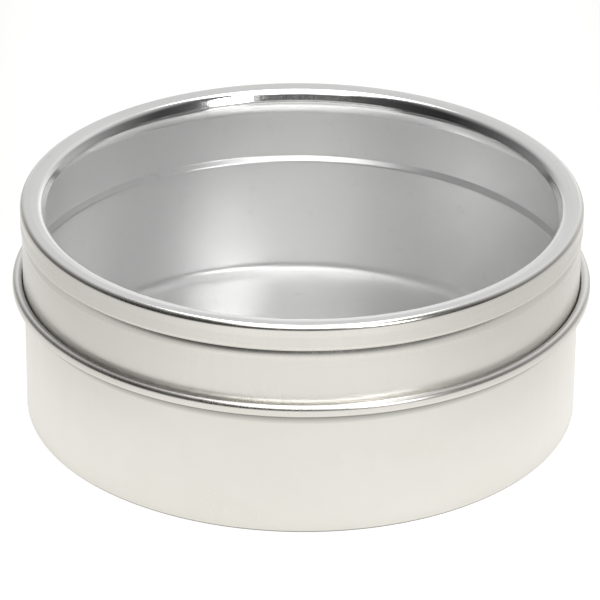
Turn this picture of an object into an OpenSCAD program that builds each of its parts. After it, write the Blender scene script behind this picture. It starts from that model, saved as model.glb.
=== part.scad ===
// Round two-piece window tin. The base is a drawn pan whose wall widens into a seat
// and then rolls outwards. The lid's skirt drops into that seat, with a plug below it,
// and its clear pane is held between a turned-down flange and a groove.
// Every piece is an outline turned about Z. The tin stands on Z = 0. Millimetres.

/* [Sheet] */
// Thickness of the tinplate
sheet = 0.3; // [0.25:0.01:0.32]
// Gap between the lid's skirt and the seat that it drops into
fit_gap = 0.1; // [0.05:0.01:0.15]

/* [Base pan] */
// Outer diameter of the base wall
base_d = 95; // [94.8:0.1:95.1]
// Radius of the bottom corner on the outside
corner_out_r = 0.7; // [0.5:0.1:1.5]
// Radius of the bottom corner on the inside
corner_in_r = 2.1; // [1.5:0.1:3]
// Height of the top of the seat, where the roll starts to turn
rim_z = 23.75; // [18:0.05:26]
// Outer diameter of the rolled rim
rim_d = 99; // [98.6:0.1:99.4]
// Straight stretch of the roll's outer side
roll_run = 0.6; // [0.2:0.05:1]
// How far the roll turns in again under that stretch, in degrees
roll_end = 140; // [90:5:150]

/* [Seat and ledge] */
// Slope of the seat and of the ledge that rests in it, in degrees from upright
seat_turn = 43; // [38:1:46]
// Radius of the bend below the seat, at mid sheet
seat_foot_r = 0.5; // [0.4:0.05:0.6]
// Radius of the two bends of the lid's ledge, at mid sheet
ledge_r = 0.4; // [0.3:0.05:0.45]

/* [Lid ring] */
// Outer diameter of the plug below the ledge
plug_d = 93.8; // [93.4:0.1:94]
// How far the plug goes down below the top of the seat
plug_depth = 3.7; // [2.5:0.1:6]
// Outer diameter of the skirt
skirt_d = 95.4; // [95.3:0.1:95.5]
// Outer diameter of the band and of the lid's top
lid_d = 95.8; // [95.7:0.1:96]
// Height of the lid's top above the table, with the lid on
tin_h = 38.4; // [36:0.1:60]
// Height of the band above the groove
band_h = 4.0; // [4:0.1:5]
// Depth of the groove below the band's face
groove_depth = 0.45; // [0.4:0.01:0.5]
// Radius of the bend at the bottom of the groove, at mid sheet
groove_r = 0.3; // [0.25:0.01:0.35]
// Radius of the bend at the band's lower edge, at mid sheet
band_edge_r = 0.25; // [0.22:0.01:0.3]
// Radius of the long bend that leads from the groove to the skirt, at mid sheet
ease_r = 4; // [1.5:0.5:5]
// Radius of the top outer shoulder
shoulder_r = 0.9; // [0.8:0.05:1.2]

/* [Flange and window] */
// Diameter of the window opening
window_d = 87.2; // [84:0.1:87.3]
// Inner diameter of the flat on top of the flange
flat_d = 92.6; // [92.4:0.1:93]
// Radius of the gentle bend inside that flat, at mid sheet
crown_r = 4; // [3:0.5:4.5]
// How far that bend turns down, in degrees
crown_turn = 7; // [4:1:8]
// Radius of the bend that turns down into the opening
lip_r = 1.35; // [1:0.05:1.4]
// Slope of the turned-down edge, in degrees from level
lip_turn = 62; // [55:1:70]
// How far the turned-down edge reaches below the lid's top
lip_drop = 1.75; // [1.5:0.05:1.9]
// Thickness of the clear pane
pane_t = 0.4; // [0.3:0.05:0.5]
// Gap between the pane's edge and the band around it
pane_gap = 0.15; // [0.1:0.01:0.3]
// Height of the pane's turned-down edge
pane_edge_h = 2.1; // [1:0.1:2.1]

/* [Hidden] */
$fn = 180;

// Largest angle between two points on a round stretch of an outline
arc_step = 9;

half_t = sheet / 2;

// Mid-sheet radii of the base: the wall and the seat's upright top
wall_mid = base_d / 2 - half_t;
neck_in = skirt_d / 2 + fit_gap;
neck_mid = neck_in + half_t;

// The seat runs parallel to the lid's ledge, so its upper bend is wider by the sheet and the gap
seat_r = ledge_r + sheet + fit_gap;
seat_z = rim_z - slope_rise(neck_mid - wall_mid, seat_foot_r, seat_r);

// The rolled rim: middle of its two round ends, and their mid-sheet radius
roll_c = (neck_in + rim_d / 2) / 2;
roll_mid = rim_d / 2 - roll_c - half_t;

// Mid-sheet radii of the lid: plug, skirt, band and the bottom of the groove
plug_mid = plug_d / 2 - half_t;
skirt_mid = skirt_d / 2 - half_t;
band_mid = lid_d / 2 - half_t;
root_mid = band_mid - groove_depth;

ledge_z = rim_z - slope_rise(skirt_mid - plug_mid, ledge_r, ledge_r);

// The groove: a tight bend under the band, then the long bend out to the skirt
band_z = tin_h - band_h;
edge_turn = bend_turn(groove_depth, groove_r, band_edge_r);
root_z = band_z - bend_rise(groove_depth, groove_r, band_edge_r);
ease_turn = bend_turn(skirt_mid - root_mid, groove_r, ease_r);
ease_z = root_z - bend_rise(skirt_mid - root_mid, groove_r, ease_r);

// The flange: middles of its shoulder, its gentle bend and the edge round the window
window_mid = window_d / 2 + half_t / sin(lip_turn);
shoulder_c = lid_d / 2 - shoulder_r;
crown_c = flat_d / 2;
crown_z = tin_h - half_t - crown_r;
lip_z = tin_h - lip_drop;
lip_mid = lip_r - half_t;

// The lip's bend touches both the slope inside the crown and the lip's own slope
crown_slope_z = crown_z + (crown_r - lip_mid) / cos(crown_turn) - crown_c * tan(crown_turn);
lip_slope_c = window_mid + lip_mid * sin(lip_turn) + (lip_mid * cos(lip_turn) - lip_z) / tan(lip_turn);
lip_c = (lip_slope_c + crown_slope_z / tan(lip_turn)) / (1 - tan(crown_turn) / tan(lip_turn));
lip_bend_z = crown_slope_z + lip_c * tan(crown_turn);

pane_r = lid_d / 2 - sheet - pane_gap;
pane_corner_c = pane_r - pane_t;

// Angle that two opposite bends turn through to shift the sheet sideways by step
function bend_turn(step, first_r, second_r) = acos(1 - step / (first_r + second_r));

// Height that the same two bends take up
function bend_rise(step, first_r, second_r) =
    (first_r + second_r) * sin(bend_turn(step, first_r, second_r));

// Height of a sideways step made of two bends with a straight slope at seat_turn between them
function slope_rise(step, first_r, second_r) =
    let (bends = first_r + second_r,
         run = (step - bends * (1 - cos(seat_turn))) / sin(seat_turn))
    bends * sin(seat_turn) + run * cos(seat_turn);

// Round stretch of an outline, from angle from_a to angle to_a
function arc(centre, r, from_a, to_a) =
    let (steps = ceil(abs(to_a - from_a) / arc_step))
    [for (i = [0:steps])
        let (a = from_a + (to_a - from_a) * i / steps)
        centre + r * [cos(a), sin(a)]];

function reversed(points) = [for (i = [len(points) - 1:-1:0]) points[i]];

// One face of the base's sheet, from the middle of the floor to the rolled edge.
// side is 1 for the outer face and -1 for the inner face. The corner's radius is not the same on both.
function base_face(side, corner_r) = let (d = side * half_t) concat(
    [[0, half_t - d]],
    arc([wall_mid + d - corner_r, half_t - d + corner_r], corner_r, -90, 0),
    arc([wall_mid + seat_foot_r, seat_z], seat_foot_r - d, 180, 180 - seat_turn),
    arc([neck_mid - seat_r, rim_z], seat_r + d, -seat_turn, 0),
    arc([roll_c, rim_z], roll_mid - d, 180 - arc_step, 0),
    arc([roll_c, rim_z - roll_run], roll_mid - d, 0, -roll_end)
);

// One face of the lid's sheet, from the plug's edge up to the window
function lid_face(side) = let (d = side * half_t) concat(
    [[plug_mid + d, rim_z - plug_depth]],
    arc([plug_mid + ledge_r, ledge_z], ledge_r - d, 180, 180 - seat_turn),
    arc([skirt_mid - ledge_r, rim_z], ledge_r + d, -seat_turn, 0),
    arc([skirt_mid - ease_r, ease_z], ease_r + d, 0, ease_turn),
    arc([root_mid + groove_r, root_z], groove_r - d, 180 + ease_turn, 180 - edge_turn),
    arc([band_mid - band_edge_r, band_z], band_edge_r + d, -edge_turn, 0),
    arc([shoulder_c, tin_h - shoulder_r], shoulder_r - half_t + d, 0, 90),
    arc([crown_c, crown_z], crown_r + d, 90, 90 + crown_turn),
    arc([lip_c, lip_bend_z], lip_mid + d, 90 + crown_turn, 90 + lip_turn),
    [[window_mid - d / sin(lip_turn), lip_z]]
);

// Drawn pan: floor, corner, wall, seat, and a rim rolled outwards
module base_pan() {
    color("gainsboro") rotate_extrude()
        polygon(concat(base_face(1, corner_out_r), reversed(base_face(-1, corner_in_r))));
}

// Lid ring: plug, ledge, skirt, groove, band, flange and lip, all one sheet
module lid_ring() {
    color("silver") rotate_extrude()
        polygon(concat(lid_face(1), reversed(lid_face(-1))));
}

// Clear pane: a shallow cup, flat against the lip, its edge turned down
module window_pane() {
    color("azure", 0.35) rotate_extrude()
        polygon(concat(
            [[0, lip_z]],
            reversed(arc([pane_corner_c, lip_z - pane_t], pane_t, 0, 90)),
            [[pane_r, lip_z - pane_edge_h], [pane_corner_c, lip_z - pane_edge_h],
             [pane_corner_c, lip_z - pane_t], [0, lip_z - pane_t]]
        ));
}

base_pan();
lid_ring();
window_pane();
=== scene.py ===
"""Round window tin: a drawn base pan with a rolled rim, and a plug lid with a clear pane.

Everything is in metres, in the CAD model's frame: +Z is the tin's axis and the table is at Z = 0.
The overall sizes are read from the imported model. The sheet's bends and the finish are set here.
"""

import math

import bmesh
import bpy
from mathutils import Matrix, Vector


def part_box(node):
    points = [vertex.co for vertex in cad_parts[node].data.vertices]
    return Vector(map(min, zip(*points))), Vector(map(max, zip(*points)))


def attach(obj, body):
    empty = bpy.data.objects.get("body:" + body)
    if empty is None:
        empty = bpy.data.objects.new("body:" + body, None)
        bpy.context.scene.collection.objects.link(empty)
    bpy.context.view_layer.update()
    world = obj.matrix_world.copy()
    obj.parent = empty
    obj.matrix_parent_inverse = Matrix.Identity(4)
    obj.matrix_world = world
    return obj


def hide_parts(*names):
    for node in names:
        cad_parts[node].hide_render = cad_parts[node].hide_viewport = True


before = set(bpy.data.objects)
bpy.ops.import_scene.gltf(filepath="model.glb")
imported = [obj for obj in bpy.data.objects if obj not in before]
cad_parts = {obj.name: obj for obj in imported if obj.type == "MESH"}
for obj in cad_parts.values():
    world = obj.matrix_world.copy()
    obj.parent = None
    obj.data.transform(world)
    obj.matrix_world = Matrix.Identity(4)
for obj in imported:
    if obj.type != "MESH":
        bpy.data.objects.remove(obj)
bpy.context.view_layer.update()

MM = 0.001

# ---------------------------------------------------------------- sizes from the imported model

base_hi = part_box("base_pan")[1]
lid_lo, lid_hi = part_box("lid_ring")
pane_lo, pane_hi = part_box("window_pane")


def outer_radius(corner):
    """Radius of a round node from its box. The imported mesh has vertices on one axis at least."""
    return max(corner.x, corner.y)


SHEET = 0.3 * MM
HALF = SHEET / 2
FIT_GAP = 0.1 * MM

# ---------------------------------------------------------------- the base's sheet

WALL_R = 47.5 * MM
WALL_MID = WALL_R - HALF
CORNER_OUT_R = 0.7 * MM
CORNER_IN_R = 2.1 * MM

SKIRT_R = 47.7 * MM
NECK_IN = SKIRT_R + FIT_GAP
NECK_MID = NECK_IN + HALF
RIM_R = outer_radius(base_hi)
ROLL_C = (NECK_IN + RIM_R) / 2
ROLL_MID = RIM_R - ROLL_C - HALF
ROLL_RUN = 0.6 * MM
ROLL_START = 171  # the roll leaves the seat here, in degrees from outwards
ROLL_END = 140  # and ends here, on its way back in
RIM_Z = base_hi.z - ROLL_MID - HALF

SEAT_TURN = 43
SEAT_FOOT_R = 0.5 * MM
LEDGE_R = 0.4 * MM
SEAT_R = LEDGE_R + SHEET + FIT_GAP

# ---------------------------------------------------------------- the lid's sheet

LID_R = outer_radius(lid_hi)
TIN_H = lid_hi.z
PLUG_FOOT = lid_lo.z
PLUG_R = 46.9 * MM
PLUG_MID = PLUG_R - HALF
SKIRT_MID = SKIRT_R - HALF
BAND_MID = LID_R - HALF
BAND_H = 4.0 * MM
BAND_Z = TIN_H - BAND_H
BAND_EDGE_R = 0.25 * MM
GROOVE_DEPTH = 0.45 * MM
GROOVE_MID = BAND_MID - GROOVE_DEPTH
GROOVE_R = 0.3 * MM
EASE_R = 4.0 * MM
SHOULDER_R = 0.9 * MM
FLAT_R = 46.3 * MM
CROWN_R = 4.0 * MM
CROWN_TURN = 7
WINDOW_R = 43.6 * MM
LIP_R = 1.35 * MM
LIP_TURN = 62

# ---------------------------------------------------------------- the clear pane

PANE_T = 0.4 * MM
PANE_R = outer_radius(pane_hi)
PANE_TOP = pane_hi.z
PANE_FOOT = pane_lo.z

# ---------------------------------------------------------------- outlines

ARC_STEP = 6  # most degrees between two points on a round stretch
FEWEST_STEPS = 4
TURNS = 288  # points round the axis
CREASE_ANGLE = math.radians(32)  # an edge sharper than this is not shaded smooth
SUPPORT = 0.12 * MM  # from a bend to the extra point on the straight run beside it
LONG_RUN = 4 * SUPPORT  # a shorter run gets no extra points


def arc(centre, radius, from_deg, to_deg):
    """Points on a round stretch of an outline."""
    steps = max(FEWEST_STEPS, math.ceil(abs(to_deg - from_deg) / ARC_STEP))
    points = []
    for i in range(steps + 1):
        a = math.radians(from_deg + (to_deg - from_deg) * i / steps)
        points.append((centre[0] + radius * math.cos(a), centre[1] + radius * math.sin(a)))
    return points


def bend_turn(step, first_r, second_r):
    """Degrees that two opposite bends turn through to shift the sheet sideways by step."""
    return math.degrees(math.acos(1 - step / (first_r + second_r)))


def bend_rise(step, first_r, second_r):
    """Height that the same two bends take up."""
    return (first_r + second_r) * math.sin(math.radians(bend_turn(step, first_r, second_r)))


def slope_rise(step, first_r, second_r):
    """Height of a sideways step made of two bends with a straight slope between them."""
    slope = math.radians(SEAT_TURN)
    bends = first_r + second_r
    run = (step - bends * (1 - math.cos(slope))) / math.sin(slope)
    return bends * math.sin(slope) + run * math.cos(slope)


def supported(points):
    """The outline with extra points just inside both ends of each long straight run,
    so that smooth shading stays on the bends."""
    out = []
    for i, here in enumerate(points):
        ahead = points[(i + 1) % len(points)]
        out.append(here)
        length = math.dist(here, ahead)
        if length > LONG_RUN and not (here[0] < SUPPORT and ahead[0] < SUPPORT):
            for share in (SUPPORT / length, 1 - SUPPORT / length):
                out.append(tuple(a + (b - a) * share for a, b in zip(here, ahead)))
    return out


def lathe(name, outline, material):
    """Turns a closed outline of (radius, height) points about Z. A point on the axis is one vertex."""
    mesh = bpy.data.meshes.new(name)
    bm = bmesh.new()
    rings = []
    for radius, height in supported(outline):
        if radius == 0:
            rings.append([bm.verts.new((0, 0, height))] * TURNS)
            continue
        ring = []
        for i in range(TURNS):
            a = 2 * math.pi * i / TURNS
            ring.append(bm.verts.new((radius * math.cos(a), radius * math.sin(a), height)))
        rings.append(ring)
    for lower, upper in zip(rings, rings[1:] + rings[:1]):
        for i in range(TURNS):
            j = (i + 1) % TURNS
            # Beside the axis two of the four corners are one vertex
            corners = []
            for v in (lower[i], lower[j], upper[j], upper[i]):
                if v not in corners:
                    corners.append(v)
            if len(corners) > 2:
                bm.faces.new(corners)
    bmesh.ops.recalc_face_normals(bm, faces=bm.faces)
    for face in bm.faces:
        face.smooth = True
    for edge in bm.edges:
        edge.smooth = len(edge.link_faces) < 2 or edge.calc_face_angle(0) < CREASE_ANGLE
    bm.to_mesh(mesh)
    bm.free()
    piece = bpy.data.objects.new(name, mesh)
    bpy.context.scene.collection.objects.link(piece)
    mesh.materials.append(material)
    return piece


def base_face(side, corner_r):
    """One face of the base's sheet, from the floor to the rolled edge. side is 1 outside, -1 inside."""
    d = side * HALF
    seat_z = RIM_Z - slope_rise(NECK_MID - WALL_MID, SEAT_FOOT_R, SEAT_R)
    face = [(0, HALF - d)]
    face += arc((WALL_MID + d - corner_r, HALF - d + corner_r), corner_r, -90, 0)
    face += arc((WALL_MID + SEAT_FOOT_R, seat_z), SEAT_FOOT_R - d, 180, 180 - SEAT_TURN)
    face += arc((NECK_MID - SEAT_R, RIM_Z), SEAT_R + d, -SEAT_TURN, 0)
    face += arc((ROLL_C, RIM_Z), ROLL_MID - d, ROLL_START, 0)
    face += arc((ROLL_C, RIM_Z - ROLL_RUN), ROLL_MID - d, 0, -ROLL_END)
    return face


def lid_face(side):
    """One face of the lid's sheet, from the plug up to the window. side is 1 outside, -1 inside."""
    d = side * HALF
    ledge_z = RIM_Z - slope_rise(SKIRT_MID - PLUG_MID, LEDGE_R, LEDGE_R)
    edge_step = BAND_MID - GROOVE_MID
    edge_turn = bend_turn(edge_step, GROOVE_R, BAND_EDGE_R)
    root_z = BAND_Z - bend_rise(edge_step, GROOVE_R, BAND_EDGE_R)
    ease_step = SKIRT_MID - GROOVE_MID
    ease_turn = bend_turn(ease_step, GROOVE_R, EASE_R)
    ease_z = root_z - bend_rise(ease_step, GROOVE_R, EASE_R)
    crown_z = TIN_H - HALF - CROWN_R
    lip_mid = LIP_R - HALF
    fall = math.radians(CROWN_TURN)
    steep = math.radians(LIP_TURN)
    window_mid = WINDOW_R + HALF / math.sin(steep)
    crown_slope_z = crown_z + (CROWN_R - lip_mid) / math.cos(fall) - FLAT_R * math.tan(fall)
    lip_slope_c = window_mid + lip_mid * math.sin(steep)
    lip_slope_c += (lip_mid * math.cos(steep) - PANE_TOP) / math.tan(steep)
    lip_c = (lip_slope_c + crown_slope_z / math.tan(steep)) / (1 - math.tan(fall) / math.tan(steep))
    lip_bend_z = crown_slope_z + lip_c * math.tan(fall)
    face = [(PLUG_MID + d, PLUG_FOOT)]
    face += arc((PLUG_MID + LEDGE_R, ledge_z), LEDGE_R - d, 180, 180 - SEAT_TURN)
    face += arc((SKIRT_MID - LEDGE_R, RIM_Z), LEDGE_R + d, -SEAT_TURN, 0)
    face += arc((SKIRT_MID - EASE_R, ease_z), EASE_R + d, 0, ease_turn)
    face += arc((GROOVE_MID + GROOVE_R, root_z), GROOVE_R - d, 180 + ease_turn, 180 - edge_turn)
    face += arc((BAND_MID - BAND_EDGE_R, BAND_Z), BAND_EDGE_R + d, -edge_turn, 0)
    face += arc((LID_R - SHOULDER_R, TIN_H - SHOULDER_R), SHOULDER_R - HALF + d, 0, 90)
    face += arc((FLAT_R, crown_z), CROWN_R + d, 90, 90 + CROWN_TURN)
    face += arc((lip_c, lip_bend_z), lip_mid + d, 90 + CROWN_TURN, 90 + LIP_TURN)
    face += [(window_mid - d / math.sin(steep), PANE_TOP)]
    return face


def pane_outline():
    """Shallow cup: flat disc with its edge turned down."""
    corner = (PANE_R - PANE_T, PANE_TOP - PANE_T)
    outline = [(0, PANE_TOP)]
    outline += arc(corner, PANE_T, 90, 0)
    outline += [(PANE_R, PANE_FOOT), (corner[0], PANE_FOOT), corner, (0, corner[1])]
    return outline


# ---------------------------------------------------------------- shader nodes


class Graph:
    """The node tree of a material or of the world, with a short way to add each kind of node."""

    def __init__(self, tree):
        self.nodes = tree.nodes
        self.links = tree.links

    def feed(self, socket, value):
        """Sets a socket to a number or colour, or links another node's output to it."""
        if isinstance(value, bpy.types.NodeSocket):
            self.links.new(value, socket)
        else:
            socket.default_value = value

    def coordinates(self, kind):
        """Texture coordinates, or the surface's own normal."""
        return self.nodes.new("ShaderNodeTexCoord").outputs[kind]

    def split(self, vector):
        """The X, Y and Z of a vector."""
        node = self.nodes.new("ShaderNodeSeparateXYZ")
        self.links.new(vector, node.inputs["Vector"])
        return node.outputs["X"], node.outputs["Y"], node.outputs["Z"]

    def noise(self, coords, stretch, detail, rough=0.55):
        """Noise with stretch grains per metre along X, Y and Z."""
        place = self.nodes.new("ShaderNodeMapping")
        place.inputs["Scale"].default_value = stretch
        self.links.new(coords, place.inputs["Vector"])
        node = self.nodes.new("ShaderNodeTexNoise")
        node.inputs["Scale"].default_value = 1.0
        node.inputs["Detail"].default_value = detail
        node.inputs["Roughness"].default_value = rough
        self.links.new(place.outputs["Vector"], node.inputs["Vector"])
        return node.outputs["Fac"]

    def ranged(self, value, old, new):
        """A value moved from the old range to the new one, and held inside it."""
        node = self.nodes.new("ShaderNodeMapRange")
        node.inputs["From Min"].default_value, node.inputs["From Max"].default_value = old
        node.inputs["To Min"].default_value, node.inputs["To Max"].default_value = new
        self.links.new(value, node.inputs["Value"])
        return node.outputs["Result"]

    def number(self, operation, first, second=0):
        """One calculation on two numbers, by the name that Blender gives it."""
        node = self.nodes.new("ShaderNodeMath")
        node.operation = operation
        self.feed(node.inputs[0], first)
        self.feed(node.inputs[1], second)
        return node.outputs["Value"]

    def total(self, *values):
        """All the values added up."""
        result = values[0]
        for value in values[1:]:
            result = self.number("ADD", result, value)
        return result

    def product(self, *values):
        """All the values multiplied."""
        result = values[0]
        for value in values[1:]:
            result = self.number("MULTIPLY", result, value)
        return result

    def blend(self, factor, first, second):
        """Colour that runs from first to second as factor goes from 0 to 1."""
        node = self.nodes.new("ShaderNodeMix")
        node.data_type = "RGBA"
        self.links.new(factor, node.inputs["Factor"])
        colour_sockets = [socket for socket in node.inputs if socket.type == "RGBA"]
        for socket, value in zip(colour_sockets, (first, second)):
            self.feed(socket, (*value, 1) if isinstance(value, tuple) else value)
        return next(socket for socket in node.outputs if socket.type == "RGBA")

    def bump(self, height, strength, depth, normal=None):
        """Relief from a height, on top of another relief if normal is given."""
        node = self.nodes.new("ShaderNodeBump")
        node.inputs["Strength"].default_value = strength
        node.inputs["Distance"].default_value = depth
        self.links.new(height, node.inputs["Height"])
        if normal is not None:
            self.links.new(normal, node.inputs["Normal"])
        return node.outputs["Normal"]

    def vector(self, operation, first, second=None):
        """The node for one calculation on one vector or two."""
        node = self.nodes.new("ShaderNodeVectorMath")
        node.operation = operation
        self.feed(node.inputs[0], first)
        if second is not None:
            self.feed(node.inputs[1], second)
        return node


def new_material(name):
    """A material, its graph and its Principled shader."""
    material = bpy.data.materials.new(name)
    material.use_nodes = True
    return material, Graph(material.node_tree), material.node_tree.nodes["Principled BSDF"]


# ---------------------------------------------------------------- tinplate

# The inside is painted far lighter than the outside: painted light, standing in for the light inside
# the tin
INNER_TIN_PAINTED_LIGHT_DULL = (0.945, 0.945, 0.938)
INNER_TIN_PAINTED_LIGHT_BRIGHT = (0.98, 0.98, 0.972)
OUTER_TIN_DULL = (0.672, 0.650, 0.600)
OUTER_TIN_BRIGHT = (0.775, 0.757, 0.722)
WORN_TIN = (0.70, 0.69, 0.66)
WORN_MOST = 0.35  # share of that colour in the most worn places
# Black, mixed into the outside for the painted shade at the foot and under the rolled rim
PAINTED_SHADE_BLACK = (0, 0, 0)

# Roughness of each side, then how much the floor, clouds, marks and wear change it
INNER_SATIN = 0.37
OUTER_SATIN = 0.32
FLOOR_SATIN = 0.14
CLOUD_SATIN = 0.04
MARK_SATIN = 0.03
WORN_SATIN = 0.07

OUTSIDE_BURNISH = 0.4  # share of the burnish that the outside gets
PRESSED_EDGE = 0.3 * MM  # over which a pressed stretch fades in or out

# Noises: grains per metre along X, Y and Z, levels of detail, and how rough the finest are
DRAWING_MARKS = ((2600, 2600, 60), 3)
SPECKS = ((5200, 5200, 5200), 2)
CLOUDS = ((55, 55, 90), 4)
WEAR = ((420, 420, 420), 5, 0.7)

# The range that most of a noise lies in, the part of it where wear sets in,
# and the cosines over which a face comes to count as outside
NOISE_RANGE = (0.3, 0.7)
WORN_RANGE = (0.60, 0.74)
OUTWARD_FACING = (0.2, 0.6)

SPECK_SHARE = 0.5
GRAIN_STRENGTH = 0.12
GRAIN_DEPTH = 0.02 * MM
RIPPLE_STRENGTH = 0.5
RIPPLE_DEPTH = 0.05 * MM


def outward(graph):
    """1 on faces that look away from the tin's axis, 0 on faces that look towards it or along it."""
    flat = graph.vector("MULTIPLY", graph.coordinates("Object"), (1, 1, 0)).outputs["Vector"]
    away = graph.vector("NORMALIZE", flat).outputs["Vector"]
    facing = graph.vector("DOT_PRODUCT", away, graph.coordinates("Normal")).outputs["Value"]
    return graph.ranged(facing, OUTWARD_FACING, (0, 1))


def pressed_share(graph, height, pressed):
    """1 between each pair of heights in pressed, 0 elsewhere, with soft edges."""
    shares = []
    for foot, top in pressed:
        rise = graph.ranged(height, (foot, foot + PRESSED_EDGE), (0, 1))
        fall = graph.ranged(height, (top - PRESSED_EDGE, top), (1, 0))
        shares.append(graph.product(rise, fall))
    return graph.total(*shares)


def with_painted_shade(graph, colour, height, outside, painted_shade_lines):
    """The colour with painted shade: dark lines round the outside. See tinplate for what the last
    argument holds.
    """
    for foot, top, dark_at_foot, dark_at_top in painted_shade_lines:
        line = graph.ranged(height, (foot, top), (dark_at_foot, dark_at_top))
        below = graph.number("LESS_THAN", height, foot)
        above = graph.number("GREATER_THAN", height, top)
        within = graph.number("SUBTRACT", 1, graph.total(below, above))
        # Painted shade: each line darkens the outside towards black
        colour = graph.blend(graph.product(line, within, outside), colour, PAINTED_SHADE_BLACK)
    return colour


def tinplate(name, pressed, burnish, painted_shade_lines):
    """Drawn tinplate: satin with fine drawing marks, and smoother by burnish where the tools have
    pressed it hard, which is between each pair of heights in pressed. The last argument lists lines of
    painted shade round the outside: each one's foot and top heights, and how dark it is at each."""
    material, graph, shader = new_material(name)
    coords = graph.coordinates("Object")
    height = graph.split(coords)[2]
    outside = outward(graph)
    marks = graph.noise(coords, *DRAWING_MARKS)
    specks = graph.noise(coords, *SPECKS)
    clouds = graph.noise(coords, *CLOUDS)
    wear = graph.noise(coords, *WEAR)

    # Painted light: the inside takes the lighter colours
    inner_painted_lighter = graph.blend(clouds, INNER_TIN_PAINTED_LIGHT_DULL, INNER_TIN_PAINTED_LIGHT_BRIGHT)
    outer = graph.blend(clouds, OUTER_TIN_DULL, OUTER_TIN_BRIGHT)
    sheet = graph.blend(outside, inner_painted_lighter, outer)
    sheet = graph.blend(graph.ranged(wear, WORN_RANGE, (0, WORN_MOST)), sheet, WORN_TIN)
    graph.feed(shader.inputs["Base Color"], with_painted_shade(graph, sheet, height, outside, painted_shade_lines))

    satin = graph.total(
        graph.ranged(clouds, NOISE_RANGE, (-CLOUD_SATIN, CLOUD_SATIN)),
        graph.ranged(outside, (0, 1), (INNER_SATIN, OUTER_SATIN)),
        graph.ranged(height, (SHEET, CORNER_IN_R), (FLOOR_SATIN, 0)),
        graph.ranged(marks, NOISE_RANGE, (-MARK_SATIN, MARK_SATIN)),
        graph.ranged(wear, WORN_RANGE, (0, WORN_SATIN)),
    )
    polish = graph.ranged(outside, (0, 1), (burnish, OUTSIDE_BURNISH * burnish))
    polish = graph.product(pressed_share(graph, height, pressed), polish)
    graph.feed(shader.inputs["Roughness"], graph.number("SUBTRACT", satin, polish))

    grain = graph.total(marks, graph.product(specks, SPECK_SHARE))
    relief = graph.bump(grain, GRAIN_STRENGTH, GRAIN_DEPTH)
    relief = graph.bump(clouds, RIPPLE_STRENGTH, RIPPLE_DEPTH, relief)
    graph.feed(shader.inputs["Normal"], relief)
    shader.inputs["Metallic"].default_value = 1.0
    return material


# ---------------------------------------------------------------- clear plastic

# The two noises, as for the tinplate, and the part of each that shows as marks
HAZE = ((60, 60, 60), 4)
SCRATCHES = ((180, 3200, 180), 3)
HAZY_RANGE = (0.5, 0.7)
SCRATCHED_RANGE = (0.5, 0.65)
SCRATCH_SHARE = (0.3, 1)
PANE_SATIN = 0.012
RUBBED_SATIN = 0.03
SCRATCH_STRENGTH = 0.06
SCRATCH_DEPTH = 0.004 * MM
PLASTIC_IOR = 1.45


def clear_plastic(name):
    """Clear sheet with faint handling marks."""
    material, graph, shader = new_material(name)
    coords = graph.coordinates("Object")
    scratches = graph.noise(coords, *SCRATCHES)
    rubbed = graph.product(
        graph.ranged(graph.noise(coords, *HAZE), HAZY_RANGE, (0, RUBBED_SATIN)),
        graph.ranged(scratches, SCRATCHED_RANGE, SCRATCH_SHARE),
    )
    graph.feed(shader.inputs["Roughness"], graph.total(rubbed, PANE_SATIN))
    graph.feed(shader.inputs["Normal"], graph.bump(scratches, SCRATCH_STRENGTH, SCRATCH_DEPTH))
    shader.inputs["Base Color"].default_value = (1, 1, 1, 1)
    shader.inputs["Transmission Weight"].default_value = 1.0
    shader.inputs["IOR"].default_value = PLASTIC_IOR
    return material


# ---------------------------------------------------------------- pieces

# Painted shade: a dark line at the foot's edge where the tin stands on the table, then the shade below
# the rolled rim, in three stretches
BASE_PAINTED_SHADE = (
    (0.0, 0.45 * MM, 0.95, 0.5),
    (RIM_Z - 3.3 * MM, RIM_Z - 2.2 * MM, 0, 0.5),
    (RIM_Z - 2.2 * MM, RIM_Z - 1.0 * MM, 0.5, 0.65),
    (RIM_Z - 1.0 * MM, RIM_Z - 0.8 * MM, 0.65, 0),
)

# Pressed hard: the rolled rim, the lid from the lip to its top, and the groove
BASE_PRESSED = ((RIM_Z - 1.4 * MM, base_hi.z + PRESSED_EDGE),)
LID_PRESSED = (
    (PANE_TOP - 0.4 * MM, TIN_H + PRESSED_EDGE),
    (BAND_Z - 2.3 * MM, BAND_Z + 0.4 * MM),
)
BASE_BURNISH = 0.05
LID_BURNISH = 0.22

base_metal = tinplate("tinplate_base", BASE_PRESSED, BASE_BURNISH, BASE_PAINTED_SHADE)
lid_metal = tinplate("tinplate_lid", LID_PRESSED, LID_BURNISH, ())
base_sheet = base_face(1, CORNER_OUT_R) + base_face(-1, CORNER_IN_R)[::-1]
lid_sheet = lid_face(1) + lid_face(-1)[::-1]
base = lathe("tin_base", base_sheet, base_metal)
ring = lathe("tin_lid_ring", lid_sheet, lid_metal)
pane = lathe("tin_window", pane_outline(), clear_plastic("clear_pane"))

for piece, body, node, slot in (
    (base, "base", "base_pan", "tinplate_base"),
    (ring, "lid", "lid_ring", "tinplate_lid"),
    (pane, "lid", "window_pane", "clear_pane"),
):
    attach(piece, body)
    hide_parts(node)

# ---------------------------------------------------------------- table

TABLE_SIZE = 6.0
TABLE_PALE = 0.3
TABLE_GLOW = 0.78
TABLE_TINT = (1, 0.997, 0.98, 1)
TABLE_ROUGHNESS = 0.9

# Painted light on the table's glow and colour. Each line is a stretch in metres, then the share of
# light at its ends:
# # painted shade from the axis to either side, painted shade from the camera's side to the tin, and a
# painted pool of light round the tin's foot.
PAINTED_SHADE_TO_THE_SIDES = ((0.05, 0.11), (1, 0.68))
PAINTED_SHADE_ON_CAMERA_SIDE = ((-0.4, -0.13), (0.5, 1))
PAINTED_POOL_ROUND_THE_FOOT = ((0.045, 0.085), (1.17, 1))


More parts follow.
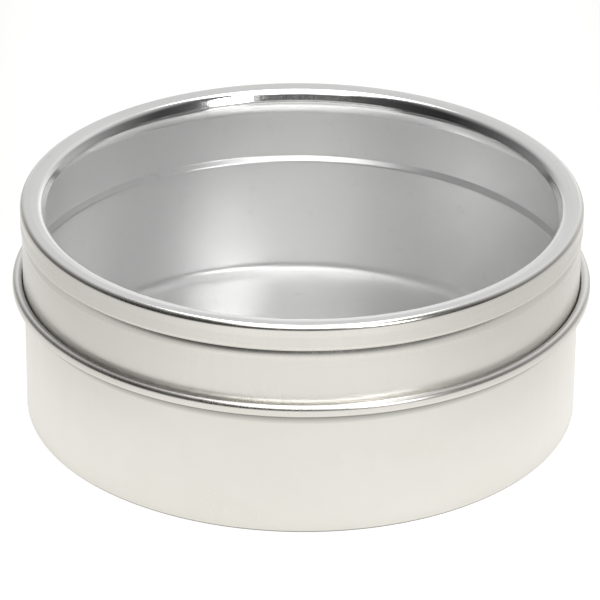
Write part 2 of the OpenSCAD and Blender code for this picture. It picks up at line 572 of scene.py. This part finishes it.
def table_top(name):
    """Pale matt table that glows. Its painted light is even round the tin, with a painted pool of light
    at the tin's foot, and painted shade makes it darker outside the picture.
    """
    material, graph, shader = new_material(name)
    coords = graph.coordinates("Object")
    x, y, _ = graph.split(coords)
    from_axis = graph.vector("LENGTH", coords).outputs["Value"]
    # Painted light: the table's glow and colour follow this share
    lit = graph.product(
        graph.ranged(graph.number("ABSOLUTE", x), *PAINTED_SHADE_TO_THE_SIDES),
        graph.ranged(y, *PAINTED_SHADE_ON_CAMERA_SIDE),
        graph.ranged(from_axis, *PAINTED_POOL_ROUND_THE_FOOT),
    )
    graph.feed(shader.inputs["Base Color"], graph.blend(lit, (0, 0, 0), (TABLE_PALE,) * 3))
    graph.feed(shader.inputs["Emission Strength"], graph.product(lit, TABLE_GLOW))
    shader.inputs["Roughness"].default_value = TABLE_ROUGHNESS
    shader.inputs["Specular IOR Level"].default_value = 0.0
    shader.inputs["Emission Color"].default_value = TABLE_TINT
    return material


def table(name, size, material):
    """Square table at Z = 0, centred on the tin."""
    mesh = bpy.data.meshes.new(name)
    half = size / 2
    corners = [(-half, -half, 0), (half, -half, 0), (half, half, 0), (-half, half, 0)]
    mesh.from_pydata(corners, [], [(0, 1, 2, 3)])
    mesh.materials.append(material)
    obj = bpy.data.objects.new(name, mesh)
    bpy.context.scene.collection.objects.link(obj)
    return obj


table("table", TABLE_SIZE, table_top("table_top"))

# ---------------------------------------------------------------- surroundings

# Directions are unit vectors: X runs from left to right, Y from the camera's side to behind the
# tin, and Z is 0 at the horizon. BACKDROP is its brightness at the two ends of BACKDROP_RISE.
# LOW_SIDES and HIGH_SIDES are the shares of light that the far sides keep, over SIDES_RISE.
BACKDROP_RISE = (0.15, 0.42)
BACKDROP = (0.9, 0.62)
CAMERA_TO_BEHIND = (-0.3, 0.5)
CAMERA_SIDE = 0.07
LEFT_TO_RIGHT = (-1, 1)
SIDE_SHARE = 0.42
FRONT_TO_SIDE = (0.4, 0.8)
SIDES_RISE = (0.3, 0.6)
LOW_SIDES = 0.35
HIGH_SIDES = 0.75
WALL_SEEN = 1.0


def studio_world():
    """Surroundings: dark on the camera's side, a pale backdrop low behind the tin, greyer above it,
    and brighter on the right than on the left. The camera sees a plain pale wall."""
    world = bpy.data.worlds.new("studio")
    world.use_nodes = True
    graph = Graph(world.node_tree)
    x, y, z = graph.split(graph.coordinates("Generated"))
    backdrop = graph.ranged(z, BACKDROP_RISE, BACKDROP)
    behind = graph.ranged(y, CAMERA_TO_BEHIND, (0, 1))
    lit = graph.product(graph.number("SUBTRACT", backdrop, CAMERA_SIDE), behind)
    lit = graph.total(lit, CAMERA_SIDE)
    tilt = graph.ranged(x, LEFT_TO_RIGHT, (1 - SIDE_SHARE, 1 + SIDE_SHARE))
    sideways = graph.ranged(graph.number("ABSOLUTE", x), FRONT_TO_SIDE, (0, 1))
    missing = graph.ranged(z, SIDES_RISE, (1 - LOW_SIDES, 1 - HIGH_SIDES))
    kept = graph.number("SUBTRACT", 1, graph.product(sideways, missing))
    lit = graph.product(lit, tilt, kept)

    choose = graph.nodes.new("ShaderNodeMix")
    choose.data_type = "FLOAT"
    seen = graph.nodes.new("ShaderNodeLightPath").outputs["Is Camera Ray"]
    for socket, value in (("Factor", seen), ("A", lit), ("B", WALL_SEEN)):
        graph.feed(choose.inputs[socket], value)
    background = graph.nodes["Background"]
    background.inputs["Color"].default_value = (1, 1, 1, 1)
    graph.feed(background.inputs["Strength"], choose.outputs["Result"])
    bpy.context.scene.world = world


studio_world()
bpy.context.scene.view_settings.view_transform = "Standard"

# ---------------------------------------------------------------- lights


def softbox(name, azimuth, elevation, distance, size, power):
    """Rectangular area light aimed at the tin. Azimuth 0 is the camera's side and 90 its right."""
    a, e = math.radians(azimuth), math.radians(elevation)
    place = Vector((math.sin(a) * math.cos(e), -math.cos(a) * math.cos(e), math.sin(e)))
    light = bpy.data.lights.new(name, "AREA")
    light.shape = "RECTANGLE"
    light.size, light.size_y = size
    light.energy = power
    obj = bpy.data.objects.new(name, light)
    bpy.context.scene.collection.objects.link(obj)
    obj.location = place * distance
    obj.rotation_mode = "QUATERNION"
    obj.rotation_quaternion = place.to_track_quat("Z", "Y")
    obj.visible_camera = False


# The key, reflected by the floor and then the wall, is the bright patch inside the tin. It is wide
# and dim, because the renderer caps a small bright light in reflections of reflections.
softbox("overhead", azimuth=0, elevation=80, distance=1.0, size=(0.7, 1.7), power=8.8)
softbox("key", azimuth=34.5, elevation=31, distance=1.2, size=(0.26, 0.52), power=4.4)

# ---------------------------------------------------------------- camera

CAMERA_DISTANCE = 0.7025
CAMERA_ELEVATION = 28.56
CAMERA_ROLL = 0.466
CAMERA_LENS = 241.7
CAMERA_SENSOR = 36
NEAREST_SEEN = 0.01
FURTHEST_SEEN = 20
AIM_SHARE = 0.485  # of the tin's height
CAMERA_LEFT = -0.2 * MM


def camera():
    """The photo's viewpoint: in front of the tin and above it, aimed near the middle of its height."""
    data = bpy.data.cameras.new("camera")
    obj = bpy.data.objects.new("camera", data)
    bpy.context.scene.collection.objects.link(obj)
    e = math.radians(CAMERA_ELEVATION)
    obj.location = (CAMERA_LEFT, -CAMERA_DISTANCE * math.cos(e), CAMERA_DISTANCE * math.sin(e))
    aim = Vector((CAMERA_LEFT, 0, AIM_SHARE * TIN_H)) - obj.location
    turn = aim.to_track_quat("-Z", "Y").to_matrix().to_4x4()
    roll = Matrix.Rotation(math.radians(CAMERA_ROLL), 4, "Z")
    obj.rotation_mode = "QUATERNION"
    obj.rotation_quaternion = (turn @ roll).to_quaternion()
    data.lens = CAMERA_LENS
    data.sensor_width = CAMERA_SENSOR
    data.clip_start = NEAREST_SEEN
    data.clip_end = FURTHEST_SEEN
    bpy.context.scene.camera = obj


camera()
